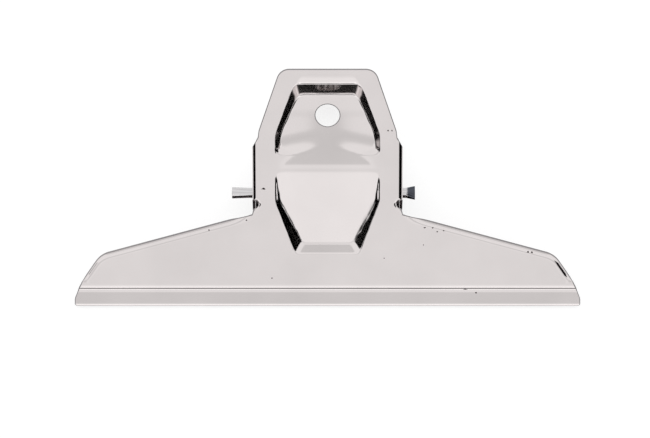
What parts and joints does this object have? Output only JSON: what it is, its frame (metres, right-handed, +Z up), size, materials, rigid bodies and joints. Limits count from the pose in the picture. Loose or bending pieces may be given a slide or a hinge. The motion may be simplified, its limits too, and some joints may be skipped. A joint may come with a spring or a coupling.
{
  "type": "bulldog clip",
  "caption": "Wide bulldog clip: pressed steel plates hinged on a pin and shut by a torsion spring, with thumb recesses, a hang hole and a straight jaw that grips loose paper.",
  "frame": {"origin": "on the surface that the clip lies on, under the middle of its bounding box", "axes": "+X along the jaw to the right as seen in the picture, +Y from the jaw to the handles, +Z up from the surface; the clip lies on its rear plate with the jaw shut"},
  "size_m": [0.145, 0.0697, 0.0328],
  "materials": {
    "plate": "bright nickel plate on pressed steel",
    "pin": "nickel plate, flattened ends worn",
    "spring": "drawn spring wire, oiled"
  },
  "bodies": {
    "rear_half": {"rear_plate": "plate", "hinge_pin": "pin", "torsion_spring": "spring"},
    "front_half": {"front_plate": "plate"}
  },
  "joints": [
    {"name": "jaw_hinge", "type": "hinge", "parent": "rear_half", "child": "front_half", "pos_m": [0, -0.00295, 0.00835], "axis": [-1, 0, 0], "range_deg": [0, 38], "stiffness_Nm_per_rad": 0.8, "springref_deg": -25.78, "deforming": ["torsion_spring"]}
  ]
}
